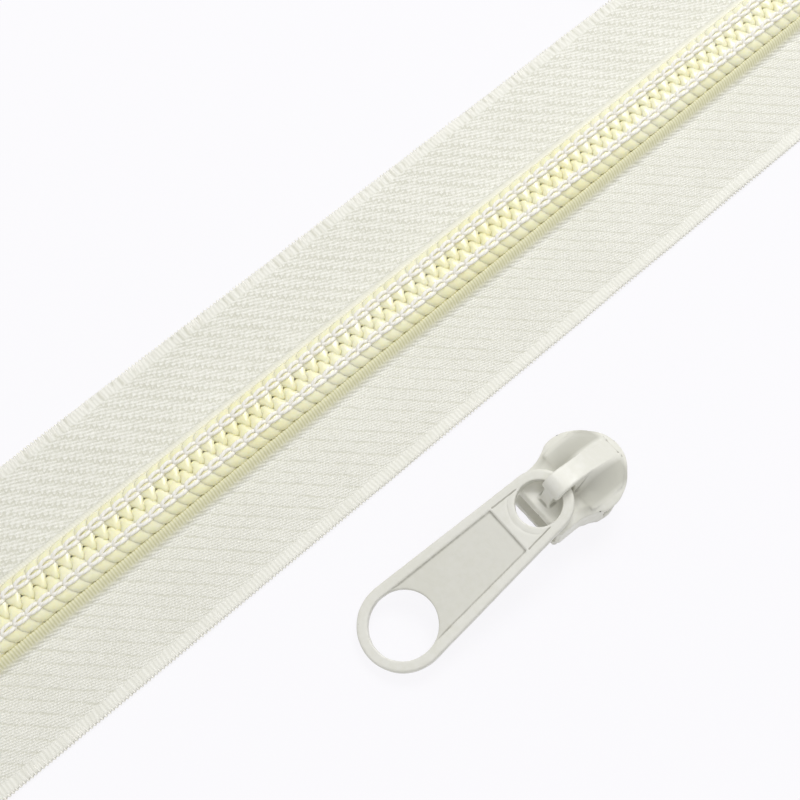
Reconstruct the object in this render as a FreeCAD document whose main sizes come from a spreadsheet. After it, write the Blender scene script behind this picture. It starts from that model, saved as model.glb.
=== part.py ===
"""Coil zipper chain with a slider taken off and laid beside it.

The two stringers lie closed on the plane Z = 0, with X along the chain, +Y towards the far
stringer and Z up. The origin is the middle of the chain on that plane. The slider lies on the
same plane beside the near tape, with its wide end towards +X and its pull laid back.
All lengths are in millimetres.
"""

import FreeCAD, Part
import math
import os

import Sketcher

Vector = FreeCAD.Vector
Rotation = FreeCAD.Rotation
Placement = FreeCAD.Placement

DRIVING_SIZES = [
    ("chain_loops", 100, "coil loops on each stringer"),
    ("chain_width", 30.0, "outer edge of one tape to outer edge of the other"),
    ("tape_gap", 0.8, "between the inner edges of the two tapes"),
    ("tape_thickness", 0.50, "woven tape"),
    ("tape_rise", 0.32, "how far the tape is lifted where the coil is sewn on"),
    ("tape_rise_start", 4.6, "half width at which the tape starts to rise"),
    ("tape_rise_end", 3.6, "half width at which the tape is fully lifted"),
    ("coil_wire", 0.70, "diameter of the coil monofilament"),
    ("loop_clearance", 0.12, "between a loop and the other coil's loop beside it"),
    ("coil_outer_edge", 3.15, "half width of the closed coil"),
    ("coil_reach", 0.70, "how far a loop's head passes the chain's centre line"),
    ("seat_gap", 0.02, "clearance between pieces that lie on each other"),
    ("core_cord_height", 0.60, "flat filler cord inside the coil"),
    ("core_cord_width", 1.60, "the same, across"),
    ("core_play", 0.05, "between the filler cord and the coil's two legs, together"),
    ("stitch_thread", 0.30, "diameter of the thread seen on the coil"),
    ("stitch_play", 0.07, "between a stitch and the coil leg that it goes over"),
    ("lock_thread", 0.26, "diameter of the thread under the tape"),
    ("slider_x", 0.3, "slider's place along the chain"),
    ("slider_y", -29.05, "slider's place across the chain"),
    ("slider_yaw", -1.5, "slider's turn on the table, degrees"),
    ("slider_rear", 5.9, "slider's middle to its narrow end"),
    ("slider_nose", 6.1, "slider's middle to its wide end"),
    ("slider_shoulder", 4.90, "half width where the shoulder begins"),
    ("straight_part", 2.70, "rear part of the slider with straight sides"),
    ("waist_bow", 6.00, "radius of the hollow between rear and shoulder"),
    ("shoulder_start", -0.20, "place along the slider where the shoulder begins"),
    ("shoulder_end", 2.50, "place along the slider where the shoulder ends"),
    ("shoulder_fall", 0.20, "how far the outline has drawn in at the shoulder's front end"),
    ("shoulder_bow", 4.20, "radius of the shoulder"),
    ("cheek_bow", 5.60, "radius from the shoulder to the nose"),
    ("nose_depth", 1.30, "length of the nose's round part"),
    ("nose_half", 2.98, "half width where the nose's round part begins"),
    ("nose_bow", 4.05, "radius of the nose"),
    ("flange_wall", 0.55, "thickness of the flanges"),
    ("channel_play", 0.20, "between the closed coil and each flange"),
    ("slider_plate", 0.90, "thickness of the bottom plate"),
    ("shield_plate", 0.80, "thickness of the shield"),
    ("chain_play", 0.10, "above and below the chain inside the slider"),
    ("slot_play", 0.18, "above the tape in the slot that it leaves by"),
    ("diamond_rear", 0.90, "place of the diamond's point along the slider"),
    ("diamond_side", 4.00, "place of the diamond's widest part along the slider"),
    ("diamond_half", 1.40, "half width of the diamond"),
    ("diamond_bow", 1.50, "radius of the diamond's front"),
    ("bottom_inset", 0.45, "how much narrower the bottom plate is on each side"),
    ("dome_inset", 0.90, "width of the slope round the shield"),
    ("dome_height", 0.45, "height of the slope round the shield"),
    ("ridge_width", 2.40, "width of the bridge along the shield"),
    ("bridge_wall", 0.72, "metal between the hole under the bridge and its crown"),
    ("ridge_shoulder", 1.90, "turning axis to the crown's front end"),
    ("ridge_fall", 0.35, "how far the crown has dropped at its front end"),
    ("ridge_bow", 14.00, "radius of the ridge from crown to nose"),
    ("ridge_setback", 0.90, "ridge's front end from the shield's nose"),
    ("crown_rear", 0.50, "turning axis to the crown's rear end"),
    ("heel_reach", 1.75, "turning axis to the bridge's heel"),
    ("heel_drop", 1.25, "crown to the bridge's heel"),
    ("heel_bow", 1.50, "radius between crown and heel"),
    ("leg_width", 1.40, "width of the bridge's rear leg"),
    ("leg_reach", 2.40, "turning axis to the back of the leg's foot"),
    ("pivot_x", -2.45, "pull's turning axis from the slider's middle"),
    ("pull_lift", 0.79, "between the shield and the pull's bar"),
    ("pull_play", 0.08, "between the turning pull and the bridge"),
    ("pull_thickness", 1.20, "pull tab, over its rims"),
    ("pull_front_radius", 3.65, "outer radius of the small end"),
    ("pull_ring_radius", 5.00, "outer radius of the big end"),
    ("bar_lead", 0.15, "how far the small end's bar stands ahead of the turning axis"),
    ("pull_ring_distance", 22.25, "turning axis to the middle of the finger hole"),
    ("finger_hole_radius", 3.80, "finger hole"),
    ("eye_radius", 2.55, "small eye that goes round the bridge's leg"),
    ("eye_distance", 3.05, "turning axis to the middle of the small eye"),
    ("panel_start", 7.35, "turning axis to the step where the sunk panel begins"),
    ("panel_rim", 1.00, "width of the raised rims beside the panel"),
    ("panel_depth", 0.24, "depth of the sunk panel on each face"),
    ("pull_edge_round", 0.30, "rounding of the pull's outer edges"),
    ("table_gap", 0.02, "between the laid-back pull and the table"),
]


class Size:
    """A length with its number and the sheet expression that gives that number."""

    def __init__(self, value, text):
        self.value = float(value)
        self.text = text

    def __add__(self, other):
        other = as_size(other)
        return Size(self.value + other.value, f"({self.text} + {other.text})")

    def __sub__(self, other):
        other = as_size(other)
        return Size(self.value - other.value, f"({self.text} - {other.text})")

    def __mul__(self, other):
        other = as_size(other)
        return Size(self.value * other.value, f"({self.text} * {other.text})")

    def __truediv__(self, other):
        other = as_size(other)
        return Size(self.value / other.value, f"({self.text} / {other.text})")

    def __neg__(self):
        return Size(-self.value, f"(-1 * {self.text})")


def as_size(number):
    """Return a Size for a Size or a plain number."""
    return number if isinstance(number, Size) else Size(number, repr(float(number)))


def root(number):
    """Return the square root of a Size."""
    return Size(math.sqrt(number.value), f"sqrt({number.text})")


ZERO = as_size(0.0)
CROWN_BOW = as_size(9.0)
LEG_BITE = as_size(0.2)

doc = FreeCAD.newDocument("zipper")
sheet = doc.addObject("Spreadsheet::Sheet", "Sizes")
size = {}
for row, (alias, number, note) in enumerate(DRIVING_SIZES, start=1):
    sheet.set(f"A{row}", note)
    sheet.set(f"B{row}", str(number))
    sheet.setAlias(f"B{row}", alias)
    size[alias] = Size(number, f"Sizes.{alias}")
doc.recompute()

# The two coils' loops stand in each other's gaps
half_pitch = size["coil_wire"] + size["loop_clearance"]
loop_pitch = half_pitch * 2
chain_length = size["chain_loops"] * loop_pitch

# Heights of the chain's layers, from the table up
half_width = size["chain_width"] / 2
tape_inner = size["tape_gap"] / 2
wire_radius = size["coil_wire"] / 2
stitch_radius = size["stitch_thread"] / 2
stitch_arch = wire_radius + stitch_radius + size["stitch_play"]
leg_spacing = size["coil_wire"] + size["core_cord_height"] + size["core_play"]
coil_seat = size["tape_rise"] + size["tape_thickness"] + size["seat_gap"]
lower_leg_z = coil_seat + wire_radius
upper_leg_z = lower_leg_z + leg_spacing
coil_mid_z = lower_leg_z + leg_spacing / 2
chain_top = upper_leg_z + stitch_arch + stitch_radius

# The coil's legs run from the head's bend to the outer bend
outer_bend_radius = root(loop_pitch * loop_pitch + leg_spacing * leg_spacing) / 2
leg_outer = size["coil_outer_edge"] - outer_bend_radius - wire_radius
leg_inner = leg_spacing / 2 + wire_radius - size["coil_reach"]
stitch_line = leg_outer - stitch_radius

# Heights of the slider's layers; its bottom plate stands on the table
channel_floor = size["slider_plate"]
channel_roof = channel_floor + size["chain_play"] + chain_top + size["chain_play"]
shield_top = channel_roof + size["shield_plate"]
tape_lifted_top = size["tape_rise"] + size["tape_thickness"]
flange_foot = channel_floor + size["chain_play"] + tape_lifted_top + size["slot_play"]
channel_half = size["coil_outer_edge"] + size["channel_play"]
rear_half = channel_half + size["flange_wall"]

# The pull's turning axis crosses a hole under the bridge that clears its bar
bar_radius = size["pull_thickness"] / 2
pivot_z = shield_top + size["pull_lift"] + bar_radius
half_ridge = size["ridge_width"] / 2
eye_side = root(size["eye_radius"] * size["eye_radius"] - half_ridge * half_ridge)
bar_inner = size["eye_distance"] - eye_side
tunnel_radius = root(bar_inner * bar_inner + bar_radius * bar_radius) + size["pull_play"]
ridge_crown = pivot_z + tunnel_radius + size["bridge_wall"]

SLIDER_PLACE = Placement(
    Vector(size["slider_x"].value, size["slider_y"].value, 0),
    Rotation(Vector(0, 0, 1), size["slider_yaw"].value),
)


def bind(target, prop, length):
    """Tie one property of a document object to the sheet."""
    target.setExpression(prop, length.text)


def new_body(label):
    """Return a PartDesign body with its label set."""
    body = doc.addObject("PartDesign::Body", label)
    body.Label = label
    return body


def new_sketch(body, name, role, lift=ZERO):
    """Return a sketch on one of the body's origin planes, lifted along its normal."""
    sketch = body.newObject("Sketcher::SketchObject", name)
    plane = [item for item in body.Origin.OriginFeatures if item.Role == role][0]
    sketch.AttachmentSupport = [(plane, "")]
    sketch.MapMode = "FlatFace"
    bind(sketch, "AttachmentOffset.Base.z", lift)
    return sketch


def pin(sketch, geometry, end, across, up):
    """Hold one end of a sketch line or arc at a point given by two Sizes."""
    for kind, length, axis in (("DistanceX", across, -2), ("DistanceY", up, -1)):
        if abs(length.value) < 1e-9:
            sketch.addConstraint(Sketcher.Constraint("PointOnObject", geometry, end, axis))
        elif length.value > 0:
            index = sketch.addConstraint(
                Sketcher.Constraint(kind, -1, 1, geometry, end, length.value)
            )
            sketch.setExpression(f"Constraints[{index}]", length.text)
        else:
            index = sketch.addConstraint(
                Sketcher.Constraint(kind, geometry, end, -1, 1, -length.value)
            )
            sketch.setExpression(f"Constraints[{index}]", (-length).text)


def arc_between(start, end, radius, bulge):
    """Return a minor arc and whether it runs from end to start.

    bulge is +1 when the arc bows to the left of the way from start to end, -1 to the right.
    """
    chord = end - start
    left = Vector(-chord.y, chord.x, 0).normalize()
    middle = (start + end) / 2
    rise = radius - math.sqrt(max(radius ** 2 - (chord.Length / 2) ** 2, 0.0))
    crest = middle + left * (rise * bulge)
    if bulge > 0:
        return Part.Arc(end, crest, start), True
    return Part.Arc(start, crest, end), False


def draw_loop(sketch, corners):
    """Draw a closed outline and pin its corners.

    Each corner is (across, up) or (across, up, radius, bulge), where radius and bulge
    shape the arc that leads from this corner to the next.
    """
    points = [Vector(corner[0].value, corner[1].value, 0) for corner in corners]
    first = None
    previous = None
    for index, corner in enumerate(corners):
        start = points[index]
        end = points[(index + 1) % len(points)]
        if len(corner) == 2:
            geometry = sketch.addGeometry(Part.LineSegment(start, end), False)
            head, tail = 1, 2
        else:
            curve, turned = arc_between(start, end, corner[2].value, corner[3])
            geometry = sketch.addGeometry(curve, False)
            head, tail = (2, 1) if turned else (1, 2)
            bend = sketch.addConstraint(Sketcher.Constraint("Radius", geometry, corner[2].value))
            sketch.setExpression(f"Constraints[{bend}]", corner[2].text)
        pin(sketch, geometry, head, corner[0], corner[1])
        if previous is not None:
            sketch.addConstraint(
                Sketcher.Constraint("Coincident", previous[0], previous[1], geometry, head)
            )
        else:
            first = (geometry, head)
        previous = (geometry, tail)
    sketch.addConstraint(
        Sketcher.Constraint("Coincident", previous[0], previous[1], first[0], first[1])
    )


def draw_circle(sketch, across, radius):
    """Draw a circle whose centre is on the sketch's horizontal axis."""
    geometry = sketch.addGeometry(
        Part.Circle(Vector(across.value, 0, 0), Vector(0, 0, 1), radius.value), False
    )
    pin(sketch, geometry, 3, across, ZERO)
    bend = sketch.addConstraint(Sketcher.Constraint("Radius", geometry, radius.value))
    sketch.setExpression(f"Constraints[{bend}]", radius.text)


def add_pad(body, name, sketch, length, midplane=False, downwards=False):
    """Pad a sketch by a Size."""
    pad = body.newObject("PartDesign::Pad", name)
    pad.Profile = sketch
    bind(pad, "Length", length)
    if midplane:
        pad.SideType = "Symmetric"
    pad.Reversed = downwards
    doc.recompute()
    return pad


def add_loft(body, name, lower, upper):
    """Join two outlines of the same build with a ruled loft."""
    loft = body.newObject("PartDesign::AdditiveLoft", name)
    loft.Profile = lower
    loft.Sections = [(upper, [""])]
    loft.Ruled = True
    doc.recompute()
    return loft


def add_pocket(body, name, sketch, depth, upwards=False):
    """Cut a sketch into the body by a Size and check that it removed material."""
    before = body.Shape.Volume
    pocket = body.newObject("PartDesign::Pocket", name)
    pocket.Profile = sketch
    bind(pocket, "Length", depth)
    pocket.Reversed = upwards
    doc.recompute()
    if body.Shape.Volume >= before:
        raise RuntimeError(f"{name} cut nothing")
    return pocket


def make_tape(side_name, side):
    """Woven tape: a flat strip whose inner margin is lifted under the coil."""
    body = new_body(f"{side_name}_tape")
    sketch = new_sketch(body, f"{side_name}_tape_section", "YZ_Plane")
    lift = size["tape_rise"]
    thick = size["tape_thickness"]
    section = [
        (half_width, ZERO),
        (half_width, thick),
        (size["tape_rise_start"], thick),
        (size["tape_rise_end"], lift + thick),
        (tape_inner, lift + thick),
        (tape_inner, lift),
        (size["tape_rise_end"], lift),
        (size["tape_rise_start"], ZERO),
    ]
    draw_loop(sketch, [(across * side, up) for across, up in section])
    add_pad(body, f"{side_name}_tape_strip", sketch, chain_length, midplane=True)
    return body


def sweep_round(edges, radius):
    """Sweep a round section of the given radius along joined edges."""
    wire = Part.Wire(edges)
    start = wire.Edges[0].Vertexes[0].Point
    along = wire.Edges[0].tangentAt(wire.Edges[0].FirstParameter)
    section = Part.Wire([Part.Circle(start, along, radius).toShape()])
    solid = wire.makePipe(Part.Face(section))
    expected = wire.Length * math.pi * radius ** 2
    if abs(solid.Volume / expected - 1) > 0.001:
        raise RuntimeError("a swept piece doesn't have its section's volume")
    return solid


def loop_positions(side):
    """Return the X of each loop; the near coil stands half a pitch off the far one."""
    pitch = loop_pitch.value
    count = int(size["chain_loops"].value)
    shift = 0.25 * side * pitch
    return [(index - (count - 1) / 2) * pitch + shift for index in range(count)]


def add_feature(label, shape):
    """Put a finished shape in the document under its label."""
    feature = doc.addObject("Part::Feature", label)
    feature.Label = label
    feature.Shape = shape
    feature.Placement = Placement()
    return feature


def make_coil(side_name, side):
    """Monofilament coil: a head, two legs and an outer bend for each loop."""
    low = lower_leg_z.value
    high = upper_leg_z.value
    middle = coil_mid_z.value
    pitch = loop_pitch.value
    head = side * leg_inner.value
    back = side * leg_outer.value
    head_tip = head - side * leg_spacing.value / 2
    bend_tip = back + side * outer_bend_radius.value
    places = loop_positions(side)
    edges = []
    for place in places:
        edges.append(Part.LineSegment(Vector(place, back, low), Vector(place, head, low)).toShape())
        crest = Vector(place, head_tip, middle)
        edges.append(
            Part.Arc(Vector(place, head, low), crest, Vector(place, head, high)).toShape()
        )
        edges.append(Part.LineSegment(Vector(place, head, high), Vector(place, back, high)).toShape())
        if place != places[-1]:
            crest = Vector(place + pitch / 2, bend_tip, middle)
            following = Vector(place + pitch, back, low)
            edges.append(Part.Arc(Vector(place, back, high), crest, following).toShape())
    return add_feature(f"{side_name}_coil", sweep_round(edges, wire_radius.value))


def make_chain_thread(side_name, side):
    """Stitches over the coil's upper legs, each dipping through the tape between two loops."""
    line = side * stitch_line.value
    arch = stitch_arch.value
    high = upper_leg_z.value
    dip = half_pitch.value - arch
    low = size["seat_gap"].value + stitch_radius.value + dip
    pitch = loop_pitch.value
    places = loop_positions(side)
    edges = []
    for place in places:
        crest = Vector(place, line, high + arch)
        left = place - arch
        right = place + arch
        edges.append(Part.LineSegment(Vector(left, line, low), Vector(left, line, high)).toShape())
        edges.append(Part.Arc(Vector(left, line, high), crest, Vector(right, line, high)).toShape())
        edges.append(Part.LineSegment(Vector(right, line, high), Vector(right, line, low)).toShape())
        if place != places[-1]:
            trough = Vector(place + half_pitch.value, line, low - dip)
            following = Vector(place + pitch - arch, line, low)
            edges.append(Part.Arc(Vector(right, line, low), trough, following).toShape())
    shape = sweep_round(edges, stitch_radius.value)
    return add_feature(f"{side_name}_chain_thread", shape)


def make_straight_cord(label, diameter, across, height):
    """Round cord along the whole chain, with its centre line at the given place."""
    cord = doc.addObject("Part::Cylinder", label)
    cord.Label = label
    cord.Placement = Placement(Vector(0, 0, 0), Rotation(Vector(0, 1, 0), 90))
    bind(cord, "Radius", diameter / 2)
    bind(cord, "Height", chain_length)
    bind(cord, "Placement.Base.x", chain_length / -2)
    bind(cord, "Placement.Base.y", across)
    bind(cord, "Placement.Base.z", height)
    return cord


def make_core_cord(side_name, side):
    """Flat filler cord that fills the inside of the coil, where the stitches go through it."""
    outline = doc.addObject("Part::Ellipse", f"{side_name}_cord_outline")
    outline.Placement = Placement(Vector(0, 0, 0), Rotation(Vector(1, 1, 1), 120))
    bind(outline, "MajorRadius", size["core_cord_width"] / 2)
    bind(outline, "MinorRadius", size["core_cord_height"] / 2)
    bind(outline, "Placement.Base.x", chain_length / -2)
    bind(outline, "Placement.Base.y", stitch_line * side)
    bind(outline, "Placement.Base.z", coil_mid_z)
    cord = doc.addObject("Part::Extrusion", f"{side_name}_core_cord")
    cord.Label = f"{side_name}_core_cord"
    cord.Base = outline
    cord.DirMode = "Custom"
    cord.Dir = Vector(1, 0, 0)
    cord.Solid = True
    bind(cord, "LengthFwd", chain_length)
    return cord


def mirrored(upper):
    """Close an outline given on its +Y side with its mirror image.

    The last corner's arc crosses the axis to its own mirror image.
    """
    lower = []
    for index in range(len(upper) - 1, -1, -1):
        across, up = upper[index][:2]
        arc_before = tuple(upper[index - 1][2:]) if index > 0 else ()
        lower.append((across, -up) + arc_before)
    return upper + lower


def slider_outline(inset):
    """Return the spade outline of a slider plate, drawn in by inset on each side."""
    shoulder = size["slider_shoulder"] - inset
    rear = size["slider_rear"] - inset / 3
    nose = size["slider_nose"] - inset
    waist = rear_half - inset
    corner = size["flange_wall"] * 0.9
    upper = [
        (-rear, waist - corner, corner, 1),
        (-rear + corner, waist),
        (-rear + size["straight_part"], waist, size["waist_bow"], -1),
        (size["shoulder_start"], shoulder, size["shoulder_bow"], 1),
        (size["shoulder_end"], shoulder - size["shoulder_fall"], size["cheek_bow"], 1),
        (nose - size["nose_depth"], size["nose_half"] - inset / 2, size["nose_bow"], 1),
    ]
    return mirrored(upper)


def make_slider_body():
    """Slider casting: bottom plate, diamond, shield, flanges and the bridge for the pull."""
    body = new_body("slider_body")

    sketch = new_sketch(body, "bottom_outline", "XY_Plane")
    draw_loop(sketch, slider_outline(size["bottom_inset"]))
    add_pad(body, "bottom_plate", sketch, size["slider_plate"])

    sketch = new_sketch(body, "diamond_outline", "XY_Plane", channel_floor)
    draw_loop(
        sketch,
        [
            (size["diamond_rear"], ZERO),
            (size["diamond_side"], size["diamond_half"], size["diamond_bow"], 1),
            (size["diamond_side"], -size["diamond_half"]),
        ],
    )
    add_pad(body, "diamond", sketch, channel_roof - channel_floor)

    sketch = new_sketch(body, "shield_outline", "XY_Plane", channel_roof)
    draw_loop(sketch, slider_outline(ZERO))
    add_pad(body, "shield_edge", sketch, size["shield_plate"] - size["dome_height"])

    dome_foot = new_sketch(body, "dome_foot", "XY_Plane", shield_top - size["dome_height"])
    draw_loop(dome_foot, slider_outline(ZERO))
    dome_head = new_sketch(body, "dome_head", "XY_Plane", shield_top)
    draw_loop(dome_head, slider_outline(size["dome_inset"]))
    add_loft(body, "dome", dome_foot, dome_head)

    for side_name, side in (("near", -1), ("far", 1)):
        sketch = new_sketch(body, f"{side_name}_flange_outline", "XY_Plane", channel_roof)
        outer = slider_outline(ZERO)[:4]
        inner = slider_outline(size["flange_wall"])[1:4]
        bow = size["waist_bow"]
        strip = [
            (outer[0][0], outer[0][1] * side, outer[0][2], side),
            (outer[1][0], outer[1][1] * side),
            (outer[2][0], outer[2][1] * side, bow, -side),
            (outer[3][0], outer[3][1] * side),
            (inner[2][0], inner[2][1] * side, bow, side),
            (outer[2][0], channel_half * side),
            (outer[0][0], channel_half * side),
        ]
        draw_loop(sketch, strip)
        add_pad(body, f"{side_name}_flange", sketch, channel_roof - flange_foot, downwards=True)

    pivot = size["pivot_x"]
    foot = shield_top - size["dome_height"]
    ridge_nose = size["slider_nose"] - size["ridge_setback"]
    heel = (pivot - size["heel_reach"], ridge_crown - size["heel_drop"])
    sketch = new_sketch(body, "ridge_profile", "XZ_Plane")
    draw_loop(
        sketch,
        [
            heel + (size["heel_bow"], 1),
            (pivot - size["crown_rear"], ridge_crown, CROWN_BOW, 1),
            (pivot + size["ridge_shoulder"], ridge_crown - size["ridge_fall"], size["ridge_bow"], 1),
            (ridge_nose, shield_top),
            (ridge_nose, foot),
            (pivot + tunnel_radius, foot),
            (pivot + tunnel_radius, pivot_z, tunnel_radius, -1),
            (pivot, pivot_z + tunnel_radius, tunnel_radius, -1),
            (pivot - tunnel_radius, pivot_z),
        ],
    )
    add_pad(body, "ridge", sketch, size["ridge_width"], midplane=True)

    sketch = new_sketch(body, "leg_profile", "XZ_Plane")
    draw_loop(
        sketch,
        [
            (pivot - tunnel_radius, foot),
            (pivot - size["leg_reach"], foot),
            heel,
            (pivot - tunnel_radius - LEG_BITE, pivot_z + tunnel_radius / 2),
            (pivot - tunnel_radius, pivot_z),
        ],
    )
    add_pad(body, "bridge_leg", sketch, size["leg_width"], midplane=True)
    return body


# The pull's turning axis passes its local origin; the tab runs from there along -X
bar_front = bar_radius + size["bar_lead"]
front_centre = bar_front - size["pull_front_radius"]
ring_centre = -size["pull_ring_distance"]
normal_x = (size["pull_ring_radius"] - size["pull_front_radius"]) / (front_centre - ring_centre)
normal_y = root(as_size(1.0) - normal_x * normal_x)
pull_reach = size["pull_ring_distance"] + size["pull_ring_radius"]
drop_ratio = (pivot_z - bar_radius - size["table_gap"]).value / pull_reach.value
PULL_TILT = -math.degrees(math.asin(drop_ratio))
PULL_PLACE = SLIDER_PLACE.multiply(
    Placement(
        Vector(size["pivot_x"].value, 0, pivot_z.value),
        Rotation(Vector(0, 1, 0), PULL_TILT),
    )
)


def pull_half_width(across):
    """Return the half width of the pull's straight sides at a place along it."""
    offset = front_centre * normal_x + size["pull_front_radius"]
    return (offset - normal_x * across) / normal_y


def make_pull_tab():
    """Pull tab: rimmed plate with a small eye, a sunk panel on each face and a finger hole."""
    body = new_body("pull_tab")
    front = size["pull_front_radius"]
    ring = size["pull_ring_radius"]
    near_front = (front_centre + normal_x * front, normal_y * front)
    near_ring = (ring_centre + normal_x * ring, normal_y * ring)

    sketch = new_sketch(body, "pull_outline", "XY_Plane")
    draw_loop(
        sketch,
        [
            (near_front[0], near_front[1]),
            (near_ring[0], near_ring[1], ring, -1),
            (-pull_reach, ZERO, ring, -1),
            (near_ring[0], -near_ring[1]),
            (near_front[0], -near_front[1], front, -1),
            (bar_front, ZERO, front, -1),
        ],
    )
    blank = add_pad(body, "pull_blank", sketch, size["pull_thickness"], midplane=True)

    rounding = body.newObject("PartDesign::Fillet", "pull_rounding")
    flat_edges = []
    for index, edge in enumerate(blank.Shape.Edges, start=1):
        if edge.BoundBox.ZLength < 0.001:
            flat_edges.append(f"Edge{index}")
    rounding.Base = (blank, flat_edges)
    bind(rounding, "Radius", size["pull_edge_round"])
    doc.recompute()

    top = size["pull_thickness"] / 2
    sketch = new_sketch(body, "hole_circles", "XY_Plane", top)
    draw_circle(sketch, ring_centre, size["finger_hole_radius"])
    draw_circle(sketch, -size["eye_distance"], size["eye_radius"])
    add_pocket(body, "holes", sketch, size["pull_thickness"])

    step = -size["panel_start"]
    step_half = pull_half_width(step) - size["panel_rim"]
    for face_name, lift, upwards in (("upper", top, False), ("lower", -top, True)):
        sketch = new_sketch(body, f"{face_name}_panel_outline", "XY_Plane", lift)
        draw_loop(
            sketch,
            [
                (step, step_half),
                (ring_centre, size["finger_hole_radius"]),
                (ring_centre, -size["finger_hole_radius"]),
                (step, -step_half),
            ],
        )
        add_pocket(body, f"{face_name}_panel", sketch, size["panel_depth"], upwards)
    return body


def check_and_export():
    """Stop if anything in the document failed, then write one STEP file per sub-part."""
    doc.recompute()
    for item in doc.Objects:
        for state in item.State:
            if state in ("Invalid", "Error"):
                raise RuntimeError(f"{item.Label} failed to compute")
    os.makedirs("parts", exist_ok=True)
    for item in sub_parts:
        if item.Shape.isNull() or not item.Shape.isValid():
            raise RuntimeError(f"{item.Label} has no valid shape")
        item.Shape.exportStep(f"parts/{item.Label}.step")
        print(item.Label, len(item.Shape.Solids), round(item.Shape.Volume, 3), item.Shape.BoundBox)


sub_parts = []
for side_name, side in (("near", -1), ("far", 1)):
    sub_parts.append(make_tape(side_name, side))
    sub_parts.append(make_coil(side_name, side))
    sub_parts.append(make_core_cord(side_name, side))
    sub_parts.append(make_chain_thread(side_name, side))
    sub_parts.append(
        make_straight_cord(
            f"{side_name}_lock_thread",
            size["lock_thread"],
            stitch_line * side,
            size["seat_gap"] + size["lock_thread"] / 2,
        )
    )
slider = make_slider_body()
slider.Placement = SLIDER_PLACE
sub_parts.append(slider)
pull = make_pull_tab()
pull.Placement = PULL_PLACE
sub_parts.append(pull)
print("pull tilt", round(PULL_TILT, 4), "slider layers", channel_roof.value, shield_top.value)
check_and_export()
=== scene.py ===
"""A coil zipper chain with its slider and pull tab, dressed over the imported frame."""

import logging
import math
from dataclasses import dataclass
from enum import Enum

import bmesh
import bpy
import numpy as np
from mathutils import Matrix, Vector, noise


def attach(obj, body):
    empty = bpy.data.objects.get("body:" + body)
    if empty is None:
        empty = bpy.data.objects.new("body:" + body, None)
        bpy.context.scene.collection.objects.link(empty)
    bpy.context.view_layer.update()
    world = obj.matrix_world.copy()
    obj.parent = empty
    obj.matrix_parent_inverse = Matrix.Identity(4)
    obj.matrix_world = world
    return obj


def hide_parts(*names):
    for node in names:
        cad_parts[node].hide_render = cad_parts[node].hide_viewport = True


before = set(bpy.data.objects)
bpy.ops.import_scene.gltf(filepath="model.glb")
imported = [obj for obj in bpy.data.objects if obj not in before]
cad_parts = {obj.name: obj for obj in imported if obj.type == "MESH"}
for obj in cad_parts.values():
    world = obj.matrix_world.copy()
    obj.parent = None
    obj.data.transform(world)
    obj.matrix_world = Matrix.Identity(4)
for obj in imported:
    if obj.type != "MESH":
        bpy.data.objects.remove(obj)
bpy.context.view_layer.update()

logging.basicConfig(level=logging.INFO, format="%(message)s")
log = logging.getLogger("zipper")

MM = 0.001
FLOAT = "NodeSocketFloat"
VECTOR = "NodeSocketVector"
Point = tuple[float, float, float]
Colour = tuple[float, float, float, float]
Socket = bpy.types.NodeSocket
Outputs = bpy.types.NodeOutputs
Inputs = bpy.types.NodeInputs


class Side(Enum):
    """The two stringers; the value is the sign of their Y."""

    NEAR = -1
    FAR = 1

    @property
    def word(self) -> str:
        """The name that this side's nodes start with."""
        return self.name.lower()

    @property
    def body(self) -> str:
        """The CAD body that this side's pieces ride on."""
        return f"{self.word}_stringer"


def tint(red: int, green: int, blue: int) -> Colour:
    """Turn a display colour into the linear one that a shader takes.

    Args:
        red, green, blue: The colour as it shows, 0 to 255.

    Returns:
        Linear red, green, blue and an alpha of one.
    """
    parts = []
    for part in (red, green, blue):
        level = part / 255
        parts.append(level / 12.92 if level <= 0.04045 else ((level + 0.055) / 1.055) ** 2.4)
    return (*parts, 1.0)


def show(name: str, data: bpy.types.ID) -> bpy.types.Object:
    """Put a new object into the scene.

    Args:
        name: Its name.
        data: Its mesh, lamp or camera.

    Returns:
        The object, at the origin.
    """
    thing = bpy.data.objects.new(name, data)
    bpy.context.scene.collection.objects.link(thing)
    return thing


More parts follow.
